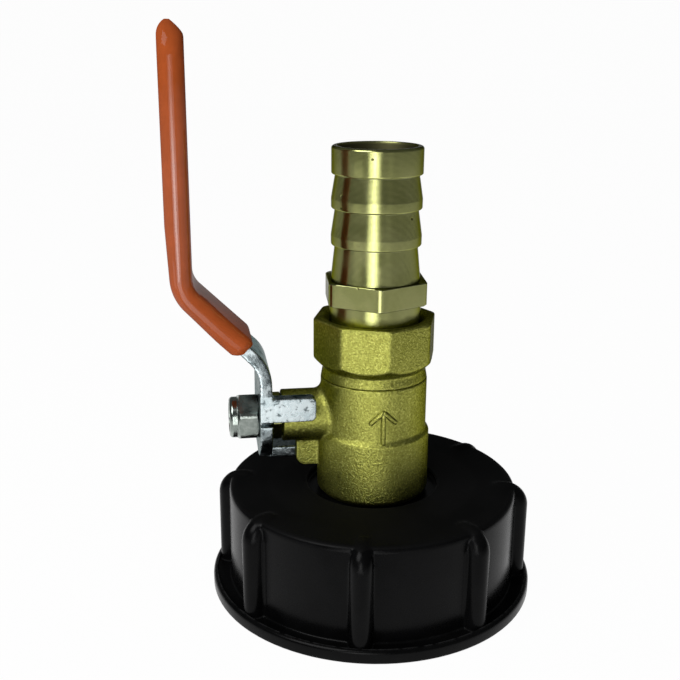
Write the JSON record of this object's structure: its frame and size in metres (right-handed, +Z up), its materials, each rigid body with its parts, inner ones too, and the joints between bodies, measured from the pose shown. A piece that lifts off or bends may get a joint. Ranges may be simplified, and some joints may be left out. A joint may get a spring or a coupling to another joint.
{
  "type": "ibc tank valve",
  "caption": "Container outlet adapter: a ribbed screw cap carries a brass lever ball valve with a barbed hose tail on top; the lever turns a quarter turn between two stops.",
  "frame": {"origin": "centre of the screw cap's open end, on the flow axis", "axes": "+Z up the flow axis towards the hose tail, -X along the valve stem towards the lever"},
  "size_m": [0.085, 0.077, 0.1305],
  "materials": {
    "cap_plastic": "satin black moulded polypropylene",
    "seal_rubber": "matt black rubber",
    "seat_plastic": "white low-friction plastic",
    "cast_brass": "grainy sand-cast and shot-blasted brass",
    "turned_brass": "bright turned brass",
    "ball_chrome": "polished chrome on brass",
    "plated_steel": "zinc-plated sheet steel",
    "plated_nut": "bright zinc-plated steel",
    "insert_plastic": "pale nylon",
    "grip_plastic": "glossy orange-red soft vinyl"
  },
  "bodies": {
    "housing": {"screw_cap": "cap_plastic", "cap_gasket": "seal_rubber", "spigot_seal": "seal_rubber", "valve_body": "cast_brass", "end_connector": "cast_brass", "joint_seal": "seat_plastic", "lower_seat": "seat_plastic", "upper_seat": "seat_plastic", "thrust_washer": "seat_plastic", "stem_packing": "seat_plastic", "gland_nut": "turned_brass", "tail_seal": "seal_rubber", "hose_tail": "turned_brass"},
    "handle": {"ball": "ball_chrome", "stem": "turned_brass", "stem_o_ring": "seal_rubber", "lever": "plated_steel", "grip_sleeve": "grip_plastic", "lock_nut": "plated_nut", "nut_insert": "insert_plastic"}
  },
  "joints": [
    {"name": "lever_turn", "type": "hinge", "parent": "housing", "child": "handle", "pos_m": [0, 0, 0.04289], "axis": [1, 0, 0], "range_deg": [0, 90]}
  ]
}
